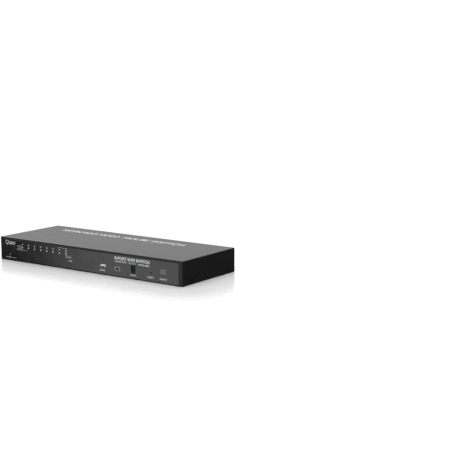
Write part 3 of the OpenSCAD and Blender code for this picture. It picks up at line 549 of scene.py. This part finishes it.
class RackSwitchSizes(bpy.types.PropertyGroup):
    """Sizes of the small shapes."""

    sheet_edge: length_property("Sheet edge", "Round of the sheet metal's cut edges", 0.0002)
    moulded_edge: length_property("Moulded edge", "Round of the plastic parts' edges", 0.0003)
    fine_edge: length_property("Fine edge", "Round of the edges of small parts", 0.0001)
    lens_dome: length_property("Lens dome", "How far the lights' domes stand out of the face", 0.00028)
    crown: length_property("Button crown", "Rise of the button's face at its middle", 0.00022)
    shell_wall: length_property("Socket shell", "Thickness of the formed socket shells", 0.0004)
    ink_height: length_property("Ink", "Thickness of the printed ink", 0.00003)


def sizes():
    """The sizes as they are set in the scene."""
    return bpy.context.scene.rack_switch_sizes


def add(name, parts, finish, stands_for=(), body="case", smooth_below=SMOOTH_BELOW):
    """A new piece with one of the named finishes."""
    return place_mesh(name, parts, FINISH[finish], body, stands_for, smooth_below)


# ---------- solids ----------


def light_pipe(x, z, radius, dome, back_y):
    """Rod turned about a line along Y: a shallow spherical dome in front, a straight side and a flat end."""
    sunk, chamfer = 0.12 * MM, 0.2 * MM
    shoulder = FACE_Y + sunk
    a = np.linspace(0, math.pi / 2, 9)
    profile = [(radius * math.sin(t), shoulder - (dome + sunk) * math.cos(t)) for t in a]
    profile += [(radius, back_y - chamfer), (radius - chamfer, back_y), (0, back_y)]
    return lathe_y((x, z), profile)


def button_solid(low, high, crown, face_w, face_h):
    """Crowned cap, its skirt and its stop flange: rounded rectangles whose size and depth follow one profile."""
    centre = ((low.x + high.x) / 2, (low.z + high.z) / 2)
    corner, edge = 0.5 * MM, 0.55 * MM
    front = low.y
    skirt_y = FACE_Y + 4.8 * MM
    flange_y = skirt_y + MM
    falls = [(0.0, 0.0), (0.25, 0.06), (0.5, 0.25), (0.75, 0.56), (1.0, 1.0)]
    rings = []
    inner_w, inner_h = face_w - 2 * edge, face_h - 2 * edge
    for share, fall in falls:
        flat = rectangle(inner_w, inner_h, corner) * share
        rings.append(facing_y(flat, centre, front + crown * fall))
    for t in np.linspace(0, math.pi / 2, 7)[1:]:
        out = edge * math.sin(t)
        flat = rectangle(inner_w + 2 * out, inner_h + 2 * out, corner + out)
        rings.append(facing_y(flat, centre, front + crown + edge * (1 - math.cos(t))))
    side = rectangle(face_w, face_h, corner + edge)
    flange = rectangle(high.x - low.x, high.z - low.z, 0.8 * MM)
    post = rectangle(4.4 * MM, 4.4 * MM, 2.15 * MM)
    for flat, y in [(side, skirt_y), (flange, skirt_y), (flange, flange_y), (post, flange_y), (post, high.y)]:
        rings.append(facing_y(flat, centre, y))
    return loft(rings)


def window_solid(low, high, width, height, edge):
    """Pane with a quarter-round front edge and a wider foot behind the wall."""
    centre = ((low.x + high.x) / 2, (low.z + high.z) / 2)
    corner, foot_y = 0.5 * MM, high.y - 0.6 * MM
    pane = rectangle(width, height, corner)
    rings = [facing_y(pane * 0.0, centre, low.y)]
    for t in np.linspace(0, math.pi / 2, 6):
        out = edge * (math.sin(t) - 1)
        flat = rectangle(width + 2 * out, height + 2 * out, corner + out)
        rings.append(facing_y(flat, centre, low.y + edge * (1 - math.cos(t))))
    foot = rectangle(high.x - low.x, high.z - low.z, 0.6 * MM)
    for flat, y in [(pane, foot_y), (foot, foot_y), (foot, high.y)]:
        rings.append(facing_y(flat, centre, y))
    return loft(rings)


def shell_solid(shape, centre, wall, y_open, y_back, y_floor):
    """Closed-ended sheath: outside from the back to the mouth, a half-round lip, then inside to its floor."""
    sign = 1 if y_back > y_open else -1
    rings = [facing_y(shape(0.0), centre, y_back)]
    for t in np.linspace(0, math.pi, 9):
        inset = wall / 2 * (1 - math.cos(t))
        rings.append(facing_y(shape(-inset), centre, y_open + sign * wall / 2 * (1 - math.sin(t))))
    rings.append(facing_y(shape(-wall), centre, y_floor))
    return loft(rings)


def d_socket_shell(x, z, flange_w, flange_h, shell_w, shell_h, wall, y_wall, y_flange, y_tip):
    """One formed sheet: a flange plate, a small fillet up to the D-shaped shell, a half-round lip and the inside."""
    centre = (x, z)
    fillet, round_edge = 0.5 * MM, 0.25 * MM

    def shape(grow):
        return d_outline(shell_w + 2 * grow, shell_h + 2 * grow, 2 * MM + grow)

    def plate(grow):
        return rectangle(flange_w + 2 * grow, flange_h + 2 * grow, 1.2 * MM + grow)

    rings = [facing_y(shape(-wall), centre, y_wall), facing_y(plate(0), centre, y_wall)]
    for t in np.linspace(0, math.pi / 2, 5):
        y = y_flange - round_edge * (1 - math.sin(t))
        rings.append(facing_y(plate(-round_edge * (1 - math.cos(t))), centre, y))
    for t in np.linspace(0, math.pi / 2, 6):
        rings.append(facing_y(shape(fillet * (1 - math.sin(t))), centre, y_flange + fillet * (1 - math.cos(t))))
    for t in np.linspace(0, math.pi, 9):
        y = y_tip - wall / 2 * (1 - math.sin(t))
        rings.append(facing_y(shape(-wall / 2 * (1 - math.cos(t))), centre, y))
    return loft(rings, closed=True)


def screw_lock(x, z, y_seat, y_end, across, bore):
    """Hexagon clipped by a cone at its mouth; its bore's radius is a wave of depth and angle, a helical groove."""
    sides = 36
    cone, thread_depth, pitch, bore_end = 0.55 * MM, 0.14 * MM, 0.64 * MM, 3.6 * MM
    a = np.linspace(0, 2 * math.pi, sides, endpoint=False)
    circle = np.stack([np.cos(a), np.sin(a)], -1)
    flat_to_flat = across * math.cos(math.pi / 6)
    hexagon = flat_to_flat / np.cos((a + math.pi / 6) % (math.pi / 3) - math.pi / 6)
    rings = []

    def ring(radius, y):
        rings.append(facing_y(circle * np.asarray(radius)[..., None], (x, z), y))

    ring(hexagon * 0, y_seat)
    ring(hexagon, y_seat)
    ring(hexagon, y_end - cone)
    for share in (0.35, 0.7, 1.0):
        ring(np.minimum(hexagon, across * (1 - 0.16 * share)), y_end - cone * (1 - share))
    ring(np.full(sides, bore + 0.2 * MM), y_end)
    for depth in np.linspace(0.15 * MM, bore_end, 34):
        phase = (depth / pitch + a / (2 * math.pi)) % 1
        ring(bore - thread_depth * np.abs(2 * phase - 1), y_end - depth)
    ring(hexagon * 0, y_end - bore_end)
    return loft(rings)


def flat_ring(outer, inner, centre, y_front, y_back):
    """Thin printed ring between two matching outlines."""
    rings = [(outer, y_front), (outer, y_back), (inner, y_back), (inner, y_front)]
    return loft([facing_y(flat, centre, y) for flat, y in rings], closed=True)


def bar(u0, v0, u1, v1):
    """Printed bar on the front between two corners in mm."""
    ink = sizes().ink_height / MM
    return box_part(front_point(u0, v0, ink), front_point(u1, v1, 0))


def bar_frame(u0, v0, u1, v1, line):
    """Four printed bars round a rectangle."""
    return [
        bar(u0, v0, u1, v0 + line),
        bar(u0, v1 - line, u1, v1),
        bar(u0, v0 + line, u0 + line, v1 - line),
        bar(u1 - line, v0 + line, u1, v1 - line),
    ]


def label(text, u, v, height, width=None, weight=0.0):
    """Printed word on the front, centred at u, v mm."""
    ink = sizes().ink_height
    part = words(text, height * MM, ink, width * MM if width else None, weight)
    return on_front(part, u, v, ink / 2)


# ---------- operators ----------


class RACKSWITCH_OT_finishes(bpy.types.Operator):
    """Make every finish and give each CAD node the finish of its slot"""

    bl_idname = "rackswitch.finishes"
    bl_label = "Finishes"

    def execute(self, context):
        FINISH.update(build_finishes(context.scene.rack_switch_colours))
        for node, source in frame["nodes"].items():
            source.data.materials.clear()
            source.data.materials.append(FINISH[SLOT_OF[node]])
        return {"FINISHED"}


class RACKSWITCH_OT_metalwork(bpy.types.Operator):
    """Tray, cover and the screws that hold them, with broken edges"""

    bl_idname = "rackswitch.metalwork"
    bl_label = "Metalwork"

    def execute(self, context):
        edge = sizes().sheet_edge
        refined("base_tray", "tray", FINISH["case_black"], edge)
        refined("top_cover", "cover", FINISH["cover_black"], edge, top=COVER_HIGH.z - sizes().ink_height)
        refined("cover_screws", "case_screws", FINISH["screw_black"], sizes().fine_edge)
        refined("earth_screw", "earth_stud", FINISH["brass_spacer"], sizes().fine_edge)
        return {"FINISHED"}


class RACKSWITCH_OT_front_panel(bpy.types.Operator):
    """Bezel, port button, display window and the two front sockets"""

    bl_idname = "rackswitch.front_panel"
    bl_label = "Front panel"

    def execute(self, context):
        s = sizes()
        refined("front_bezel", "bezel", FINISH["bezel_plastic"], s.fine_edge, smooth_below=32.0)
        low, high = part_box("port_button")
        cap = button_solid(low, high, s.crown, 13.6 * MM, 9.8 * MM)
        add("button_cap", [cap], "button_grey", ["port_button"], "port_button")
        low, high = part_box("display_window")
        pane = window_solid(low, high, high.x - low.x - 2 * MM, high.z - low.z - 1.6 * MM, 0.3 * MM)
        add("display_pane", [pane], "smoked_window", ["display_window"])
        low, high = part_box("usb_shell")
        centre = ((low.x + high.x) / 2, (low.z + high.z) / 2)

        def sheath(grow):
            return rectangle(high.x - low.x + 2 * grow, high.z - low.z + 2 * grow, 0.6 * MM + grow)

        wall, floor = 0.35 * MM, 1.5 * MM
        shell = shell_solid(sheath, centre, wall, low.y, high.y, high.y - floor)
        add("usb_sheath", [shell], "connector_metal", ["usb_shell"])
        refined("usb_tongue", "usb_insert", FINISH["white_plastic"], s.fine_edge)
        refined("mini_usb_shell", "mini_usb_sheath", FINISH["dull_nickel"], s.fine_edge)
        return {"FINISHED"}


class RACKSWITCH_OT_lights(bpy.types.Operator):
    """Domed lenses of the port lights, the power light and the link light"""

    bl_idname = "rackswitch.lights"
    bl_label = "Lights"

    def execute(self, context):
        radius = 1.3 * MM
        collar = 2.1 * MM
        rows = [
            ("online_lenses", "online_light_pipes", "online_lens", PORTS),
            ("selected_lenses", "selected_light_pipes", "selected_lens", PORTS),
            ("power_lens", "power_light_pipe", "power_lens", 1),
            ("link_lens", "link_light_pipe", "link_lens", 1),
        ]
        for name, node, finish, count in rows:
            z = box_centre(node).z
            back_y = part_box(node)[1].y
            places = row_of(node, count, 2 * collar)
            parts = [light_pipe(x, z, radius, sizes().lens_dome, back_y) for x in places]
            add(name, parts, finish, [node], smooth_below=50.0)
        return {"FINISHED"}


class RACKSWITCH_OT_rear_panel(bpy.types.Operator):
    """Formed socket shells, their screw locks, the network jacks, the mains inlet and the rocker"""

    bl_idname = "rackswitch.rear_panel"
    bl_label = "Rear panel"

    def execute(self, context):
        s = sizes()
        wall = s.shell_wall
        y_flange = REAR_WALL_Y + 0.8 * MM
        z = box_centre("chain_shell").z
        small_places = [*row_of("port_inserts", PORTS, PORT_INSERT_WIDTH), box_centre("console_insert").x]
        chain = box_centre("chain_shell").x

        def shells(places, flange_w, shell_w):
            sheet = (flange_w, FLANGE_HEIGHT, shell_w, SHELL_HEIGHT, wall)
            return [d_socket_shell(x, z, *sheet, REAR_WALL_Y, y_flange, TIP_Y) for x in places]

        small = shells(small_places, SMALL_FLANGE, SMALL_SHELL)
        add("socket_shells", small, "connector_metal", ["port_shells"])
        large = shells([chain], LARGE_FLANGE, LARGE_SHELL)
        add("chain_socket_shell", large, "connector_metal", ["chain_shell"])
        spots = [x + side * SMALL_SCREWS for x in small_places for side in (-1, 1)]
        spots += [chain + side * LARGE_SCREWS for side in (-1, 1)]
        locks = [screw_lock(x, z, y_flange, y_flange + 4.8 * MM, 2.75 * MM, 1.2 * MM) for x in spots]
        add("screw_locks", locks, "zinc", ["jackscrews"], smooth_below=28.0)
        refined("network_jacks", "network_sockets", FINISH["connector_metal"], s.fine_edge * 2)
        refined("inlet_housing", "mains_inlet", FINISH["black_plastic"], s.moulded_edge)
        refined("inlet_pins", "mains_pins", FINISH["zinc"], s.moulded_edge)
        refined("rocker_housing", "rocker_frame", FINISH["black_plastic"], s.moulded_edge)
        refined("power_rocker", "rocker", FINISH["rocker_black"], s.moulded_edge, smooth_below=20.0)
        return {"FINISHED"}


class RACKSWITCH_OT_front_printing(bpy.types.Operator):
    """Generic words, numbers, lines and pictograms on the front"""

    bl_idname = "rackswitch.front_printing"
    bl_label = "Front printing"

    def execute(self, context):
        first, pitch, number_v = 58.5, 15.9, 31.0
        parts = [
            label("8-PORT KVM SWITCH", 327.1, 34.1, 5.6, 79.0, 0.035),
            label("KEYBOARD", 302.0, 28.3, 2.6, 26.0, 0.02),
            label("MOUSE", 353.5, 27.8, 2.8, 24.0, 0.03),
            label("POWER", 20.5, 6.4, 2.4, 13.0),
            label("ONLINE", 51.0, 30.4, 1.7, 9.5),
            label("SELECTED", 51.5, 25.2, 1.7, 12.0),
            label("STATUS", 176.5, 21.9, 1.9, 13.0),
            label("LINK", 181.0, 16.0, 2.6, 9.0, 0.03),
            label("DEVICE", 258.5, 8.2, 2.7, 12.0, 0.03),
            label("STATION", 329.5, 7.6, 2.7, 13.0, 0.03),
            label("RESET", 368.8, 8.6, 2.7, 13.5, 0.03),
            label("SELECT", 396.4, 8.4, 2.6, 16.5, 0.03),
        ]
        parts += [label(str(i + 1), first + i * pitch, number_v, 1.5) for i in range(PORTS)]
        lines = [
            (42.0, 22.9, 70.0, 23.25),
            (46.0, 27.9, 55.5, 28.25),
            (29.0, 5.9, 41.0, 6.3),
            (152.5, 37.9, 172.6, 38.25),
            (172.25, 24.6, 172.6, 37.9),
            (152.5, 36.6, 152.85, 37.9),
            (168.5, 24.4, 183.0, 24.75),
        ]
        parts += [bar(*line) for line in lines]
        add("front_lettering", parts, "ink_white", smooth_below=20.0)
        add("front_lettering_green", [label("VIDEO", 327.0, 28.3, 3.0, 18.0, 0.02)], "ink_green")
        add("front_pictograms", pictograms(), "ink_white", smooth_below=20.0)
        return {"FINISHED"}


def pictograms():
    """Outline drawings of a screen, a keyboard and a mouse side by side, at u, v in mm on the front."""
    line = 0.8
    screen = bar_frame(14.0, 32.2, 22.0, 38.4, line)
    screen += [bar(17.4, 31.0, 18.6, 32.2), bar(15.6, 30.4, 20.4, 31.0)]
    keys = bar_frame(23.6, 31.6, 33.2, 36.4, line)
    keys += [bar(24.9 + 1.45 * i, 34.2, 25.8 + 1.45 * i, 35.0) for i in range(5)]
    keys += [bar(26.0, 32.7, 30.8, 33.4)]
    half_w, half_h = 1.9, 3.0
    a = np.linspace(0, 2 * math.pi, 40, endpoint=False)
    oval = np.stack([np.cos(a) * half_w * MM, np.sin(a) * half_h * MM], -1)
    spot = front_point(37.0, 34.4)
    hollow = oval * ((half_w - line) / half_w)
    mouse = flat_ring(oval, hollow, (spot[0], spot[2]), FACE_Y - sizes().ink_height, FACE_Y)
    return screen + keys + [mouse, bar(36.75, 34.6, 37.25, 36.9)]


class RACKSWITCH_OT_cover_printing(bpy.types.Operator):
    """Large pale lettering on the top of the cover"""

    bl_idname = "rackswitch.cover_printing"
    bl_label = "Cover printing"

    def execute(self, context):
        ink = sizes().ink_height
        height, behind_face, weight = 13.5 * MM, 121.5, 0.02
        lift = COVER_HIGH.z - ink / 2
        parts = []
        for text, u, width in (("KEYBOARD VIDEO", 122.5, 143.0), ("MOUSE", 235.0, 60.0), ("SWITCH", 311.0, 76.0)):
            points, faces = words(text, height, ink, width * MM, weight)
            spot = front_point(u, 0, -behind_face)
            parts.append((points + [spot[0], spot[1], lift], faces))
        add("cover_lettering", parts, "ink_cover", smooth_below=20.0)
        return {"FINISHED"}


class RACKSWITCH_OT_rear_printing(bpy.types.Operator):
    """Port numbers and generic words over the rear sockets"""

    bl_idname = "rackswitch.rear_printing"
    bl_label = "Rear printing"

    def execute(self, context):
        ink = sizes().ink_height

        def note(text, x, z, height):
            return on_rear(words(text, height * MM, ink), x, z * MM, ink / 2)

        ports = row_of("port_inserts", PORTS, PORT_INSERT_WIDTH)
        console = box_centre("console_insert").x
        chain = box_centre("chain_shell").x
        low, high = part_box("network_jacks")
        half_jack = 7.9 * MM
        lan, control = low.x + half_jack, high.x - half_jack + 1.2 * MM
        parts = [note(str(i + 1), x, 25.6, 3.2) for i, x in enumerate(ports)]
        parts += [note("CHAIN", chain, 25.6, 2.6), note("CONSOLE", console, 25.6, 2.6)]
        parts += [note("LAN", lan, 25.2, 2.4), note("POWER CTRL", control, 25.2, 1.5)]
        add("rear_lettering", parts, "ink_white", smooth_below=20.0)
        return {"FINISHED"}


class RACKSWITCH_OT_stage(bpy.types.Operator):
    """Pale glossy floor, soft overhead light, white surroundings and the camera"""

    bl_idname = "rackswitch.stage"
    bl_label = "Stage"

    def execute(self, context):
        scene = context.scene
        floor_disc(1.6)
        soft_light((0.2, 0.1, 2.4), 3.2, 40)
        surroundings(scene)
        scene.view_settings.view_transform = "Standard"
        add_camera(scene)
        return {"FINISHED"}


def floor_disc(radius):
    """Flat disc just below the object: its gloss shows the case, and away from the case it fades into white."""
    rings, sides, drop = 24, 96, 0.0001
    fade_from, fade_to = 0.045, 0.125
    r = np.linspace(0, radius, rings)[:, None]
    a = np.linspace(0, 2 * math.pi, sides, endpoint=False)[None, :]
    grid = np.stack([r * np.cos(a), r * np.sin(a), np.full((rings, sides), -drop)], -1)
    mesh = bpy.data.meshes.new("floor")
    mesh.from_pydata(grid.reshape(-1, 3).tolist(), [], grid_faces(rings, sides, False).tolist())
    tidy = bmesh.new()
    tidy.from_mesh(mesh)
    bmesh.ops.remove_doubles(tidy, verts=tidy.verts, dist=1e-6)
    bmesh.ops.recalc_face_normals(tidy, faces=tidy.faces)
    if sum(f.normal.z for f in tidy.faces) < 0:
        bmesh.ops.reverse_faces(tidy, faces=tidy.faces)
    tidy.to_mesh(mesh)
    tidy.free()
    floor = bpy.data.objects.new("floor", mesh)
    bpy.context.scene.collection.objects.link(floor)
    floor.visible_glossy = False
    f = Finish("floor gloss", (0.80, 0.80, 0.80), 0.2, ior=1.55)
    half = f.node("ShaderNodeVectorMath", {0: f.place}, operation="ABSOLUTE").outputs["Vector"]
    size = (CASE_HIGH.x, COVER_HIGH.y, 1.0)
    past = f.node("ShaderNodeVectorMath", {0: half, 1: size}, operation="SUBTRACT").outputs["Vector"]
    clear = f.node("ShaderNodeVectorMath", {0: past, 1: (0, 0, 0)}, operation="MAXIMUM").outputs["Vector"]
    far = f.node("ShaderNodeVectorMath", {0: clear}, operation="LENGTH").outputs["Value"]
    fade = {"Value": far, "From Min": fade_from, "From Max": fade_to, "To Min": 1.0, "To Max": 0.0}
    f.put("Alpha", f.node("ShaderNodeMapRange", fade, interpolation_type="SMOOTHSTEP").outputs["Result"])
    f.put("Roughness", f.between(f.noise(0.05), 0.13, 0.17))
    floor.data.materials.append(f.material)
    return floor


def soft_light(place, side, power):
    """Square lamp overhead that faces the object."""
    lamp = bpy.data.lights.new("overhead", "AREA")
    lamp.shape = "RECTANGLE"
    lamp.size, lamp.size_y = side, side
    lamp.energy = power
    holder = bpy.data.objects.new("overhead", lamp)
    holder.location = place
    holder.rotation_euler = (-Vector(place)).to_track_quat("-Z", "Y").to_euler()
    bpy.context.scene.collection.objects.link(holder)


def surroundings(scene):
    """Plain white backdrop, with a sky overhead and behind that only the gloss sees.

    In front the gloss sees light ahead and to the right, and next to none past a bearing to the left.
    """
    backdrop, sky, dim, lit = 1.05, 1.0, 0.02, 1.65
    world = bpy.data.worlds.new("surroundings")
    world.use_nodes = True
    scene.world = world
    tree = world.node_tree
    tree.nodes.clear()

    def node(kind, inputs=(), **settings):
        return new_node(tree, kind, inputs, **settings)

    def maths(operation, a, b):
        return node("ShaderNodeMath", {0: a, 1: b}, operation=operation).outputs[0]

    def span(value, low, high, at_low, at_high):
        inputs = {"Value": value, "From Min": low, "From Max": high, "To Min": at_low, "To Max": at_high}
        return node("ShaderNodeMapRange", inputs, interpolation_type="SMOOTHSTEP").outputs["Result"]

    look = node("ShaderNodeSeparateXYZ", {"Vector": node("ShaderNodeTexCoord").outputs["Generated"]}).outputs
    bearing = maths("ARCTAN2", maths("MULTIPLY", look["X"], -1.0), maths("MULTIPLY", look["Y"], -1.0))
    left = span(bearing, math.radians(43.1), math.radians(45.8), 1.0, 0.0)
    right = span(bearing, math.radians(-110), math.radians(-60), 0.0, 1.0)
    front = maths("ADD", maths("MULTIPLY", maths("MULTIPLY", left, right), lit - dim), dim)
    behind = span(bearing, math.radians(70), math.radians(115), 0.0, 1.0)
    rise = span(bearing, math.radians(125), math.radians(150), sky, sky * 1.25)
    high = span(look["Z"], 0.45, 0.75, 0.0, 1.0)
    upper = maths("MAXIMUM", maths("MULTIPLY", span(look["Z"], -0.03, 0.03, 0.0, 1.0), behind), high)
    lower = maths("SUBTRACT", 1.0, upper)
    mixed = maths("ADD", maths("MULTIPLY", upper, rise), maths("MULTIPLY", lower, front))
    seen = node("ShaderNodeLightPath").outputs["Is Camera Ray"]
    unseen = maths("SUBTRACT", 1.0, seen)
    strength = maths("ADD", maths("MULTIPLY", seen, backdrop), maths("MULTIPLY", unseen, mixed))
    glow = node("ShaderNodeBackground", {"Color": (1, 1, 1, 1), "Strength": strength})
    out = node("ShaderNodeOutputWorld")
    tree.links.new(glow.outputs["Background"], out.inputs["Surface"])


def add_camera(scene):
    """Camera off the right front corner, a little above the cover, with a slight roll."""
    lens = bpy.data.cameras.new("camera")
    lens.lens = 82.95
    lens.sensor_width = 36
    camera = bpy.data.objects.new("camera", lens)
    right = Vector((0.81852, 0.57447, -0.00240)).normalized()
    back = Vector((0.56720, -0.80749, 0.16200)).normalized()
    up = back.cross(right).normalized()
    turn = Matrix((right, up, back)).transposed().to_4x4()
    camera.matrix_world = Matrix.Translation((1.25665, -1.4325, 0.3857)) @ turn
    scene.collection.objects.link(camera)
    scene.camera = camera


class RACKSWITCH_PT_panel(bpy.types.Panel):
    """Buttons for every piece, and the sizes and colours"""

    bl_idname = "RACKSWITCH_PT_panel"
    bl_label = "Rack switch"
    bl_space_type = "VIEW_3D"
    bl_region_type = "UI"
    bl_category = "Rack switch"

    def draw(self, context):
        for operator in OPERATORS:
            self.layout.operator(operator.bl_idname)
        for group in (context.scene.rack_switch_sizes, context.scene.rack_switch_colours):
            box = self.layout.box()
            for name in group.__annotations__:
                box.prop(group, name)


OPERATORS = (
    RACKSWITCH_OT_finishes,
    RACKSWITCH_OT_metalwork,
    RACKSWITCH_OT_front_panel,
    RACKSWITCH_OT_lights,
    RACKSWITCH_OT_rear_panel,
    RACKSWITCH_OT_front_printing,
    RACKSWITCH_OT_cover_printing,
    RACKSWITCH_OT_rear_printing,
    RACKSWITCH_OT_stage,
)
CLASSES = (RackSwitchColours, RackSwitchSizes, *OPERATORS, RACKSWITCH_PT_panel)


def register():
    """Adds the classes and the scene's properties."""
    for cls in CLASSES:
        bpy.utils.register_class(cls)
    bpy.types.Scene.rack_switch_sizes = PointerProperty(type=RackSwitchSizes)
    bpy.types.Scene.rack_switch_colours = PointerProperty(type=RackSwitchColours)


def unregister():
    """Takes them away again."""
    del bpy.types.Scene.rack_switch_colours
    del bpy.types.Scene.rack_switch_sizes
    for cls in reversed(CLASSES):
        bpy.utils.unregister_class(cls)


def main():
    """Builds every piece in order."""
    register()
    for operator in OPERATORS:
        group, name = operator.bl_idname.split(".")
        result = getattr(getattr(bpy.ops, group), name)()
        if "FINISHED" not in result:
            raise RuntimeError(f"{operator.bl_idname} did not finish")
    bpy.context.view_layer.update()


if __name__ == "__main__":
    main()
